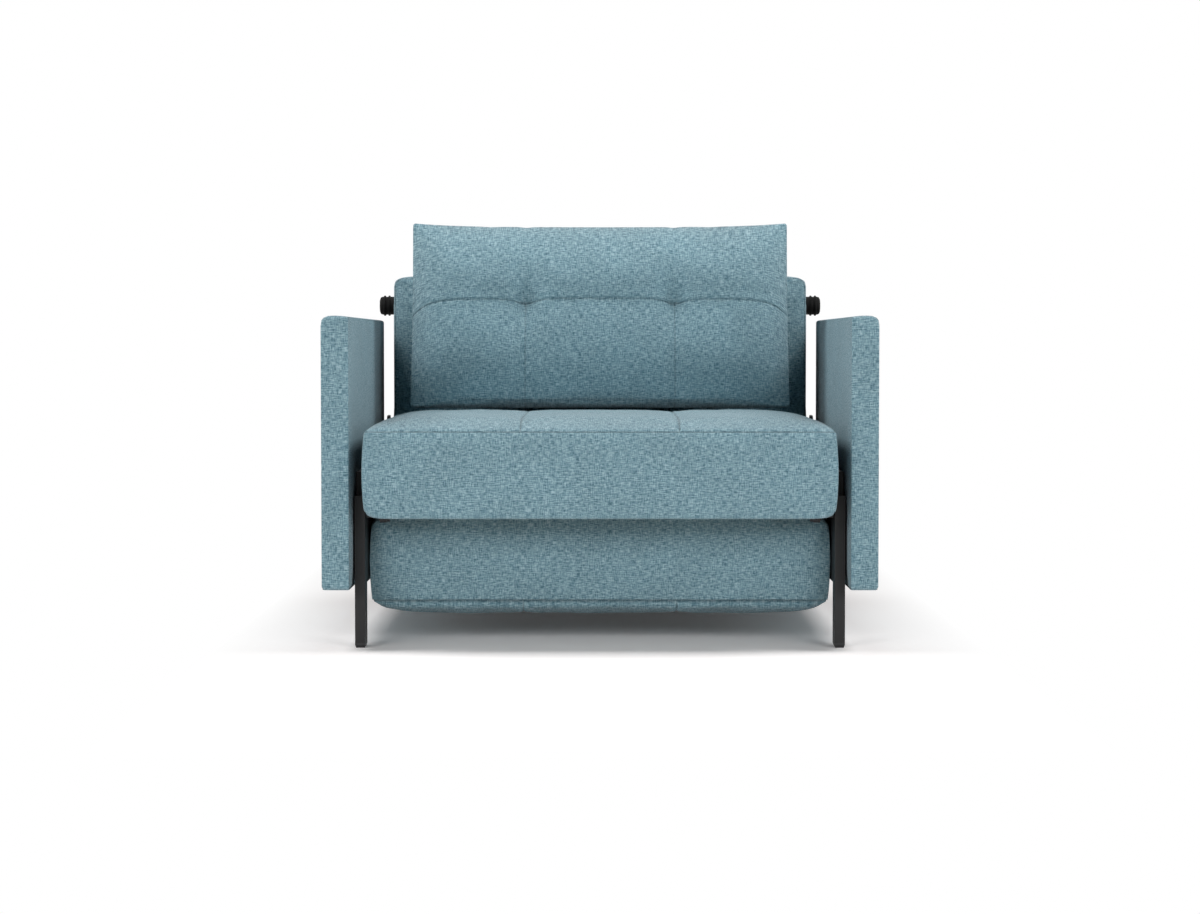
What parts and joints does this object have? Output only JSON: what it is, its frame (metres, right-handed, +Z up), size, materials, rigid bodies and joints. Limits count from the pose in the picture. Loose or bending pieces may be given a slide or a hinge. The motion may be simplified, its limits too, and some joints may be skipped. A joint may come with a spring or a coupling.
{
  "type": "convertible chair bed",
  "caption": "Upholstered armchair whose seat lifts, lower section folds out and back lowers to make a single bed; slim arms hang on a black steel frame.",
  "frame": {"origin": "on the floor under the middle of the overall box, chair folded", "axes": "+X to the sitter's left across the seat, +Y to the back, +Z up"},
  "size_m": [1.064, 0.98, 0.841],
  "materials": {
    "teal_fabric": "woven melange",
    "foam": "matte",
    "black_steel": "satin",
    "zinc_steel": "satin",
    "black_plastic": "matte",
    "black_rubber": "matte",
    "beech": "satin"
  },
  "bodies": {
    "base": {"side_panel_left": "black_steel", "side_panel_right": "black_steel", "front_leg_left": "black_steel", "front_leg_right": "black_steel", "rear_leg_left": "black_steel", "rear_leg_right": "black_steel", "foot_plugs": "black_plastic", "rear_stretchers": "black_steel", "pivot_plate_left": "black_steel", "pivot_plate_right": "black_steel", "plate_bolts": "zinc_steel", "seat_pins": "zinc_steel", "back_pins": "zinc_steel", "seat_stop_pins": "zinc_steel", "arm_cover_left": "teal_fabric", "arm_cover_right": "teal_fabric", "arm_core_left": "beech", "arm_core_right": "beech", "arm_bolts": "zinc_steel", "arm_spacers": "zinc_steel"},
    "seat": {"seat_cover": "teal_fabric", "seat_foam": "foam", "seat_rail_left": "black_steel", "seat_rail_right": "black_steel", "seat_cross_rails": "black_steel", "seat_slats": "beech", "seat_slat_holders": "black_plastic", "seat_side_arms": "black_steel", "fold_ears": "black_steel", "fold_pins": "zinc_steel"},
    "foot": {"foot_cover": "teal_fabric", "foot_foam": "foam", "foot_rail_left": "black_steel", "foot_rail_right": "black_steel", "foot_cross_rails": "black_steel", "foot_slats": "beech", "foot_slat_holders": "black_plastic", "fold_plates": "black_steel", "foot_leg_lugs": "black_steel"},
    "foot_leg": {"foot_leg_tubes": "black_steel", "foot_leg_bar": "black_steel", "foot_leg_glides": "black_plastic"},
    "back": {"back_cover": "teal_fabric", "back_foam": "foam", "back_rail_left": "black_steel", "back_rail_right": "black_steel", "back_cross_rails": "black_steel", "back_slats": "beech", "back_slat_holders": "black_plastic", "back_brackets": "black_steel", "head_tube": "black_steel", "grip_left": "black_rubber", "grip_right": "black_rubber", "tube_clamps": "black_steel"},
    "back_leg": {"back_leg_tubes": "black_steel", "back_leg_bar": "black_steel", "back_leg_glides": "black_plastic"},
    "cushion": {"cushion_cover": "teal_fabric", "cushion_filling": "foam"}
  },
  "joints": [
    {"name": "seat_lift", "type": "hinge", "parent": "base", "child": "seat", "pos_m": [0, 0.26, 0.41], "axis": [-1, 0, 0], "range_deg": [0, 60]},
    {"name": "foot_unfold", "type": "hinge", "parent": "seat", "child": "foot", "pos_m": [0, -0.406, 0.252], "axis": [-1, 0, 0], "range_deg": [0, 180]},
    {"name": "foot_leg_swing", "type": "hinge", "parent": "foot", "child": "foot_leg", "pos_m": [0, 0.382, 0.2395], "axis": [-1, 0, 0], "range_deg": [0, 90]},
    {"name": "back_recline", "type": "hinge", "parent": "base", "child": "back", "pos_m": [0, 0.35, 0.346], "axis": [-1, 0, 0], "range_deg": [0, 90]},
    {"name": "back_leg_swing", "type": "hinge", "parent": "back", "child": "back_leg", "pos_m": [0, 0.455, 0.671], "axis": [1, 0, 0], "range_deg": [0, 90]},
    {"name": "cushion_off", "type": "slide", "parent": "back", "child": "cushion", "axis": [0, 0, 1], "range_m": [0, 0.51]}
  ],
  "couplings": [
    {"joint": "foot_leg_swing", "follows": "foot_unfold", "ratio": 0.5},
    {"joint": "back_leg_swing", "follows": "back_recline", "ratio": 1},
    {"joint": "cushion_off", "follows": "seat_lift", "m_per_rad": 0.48}
  ]
}
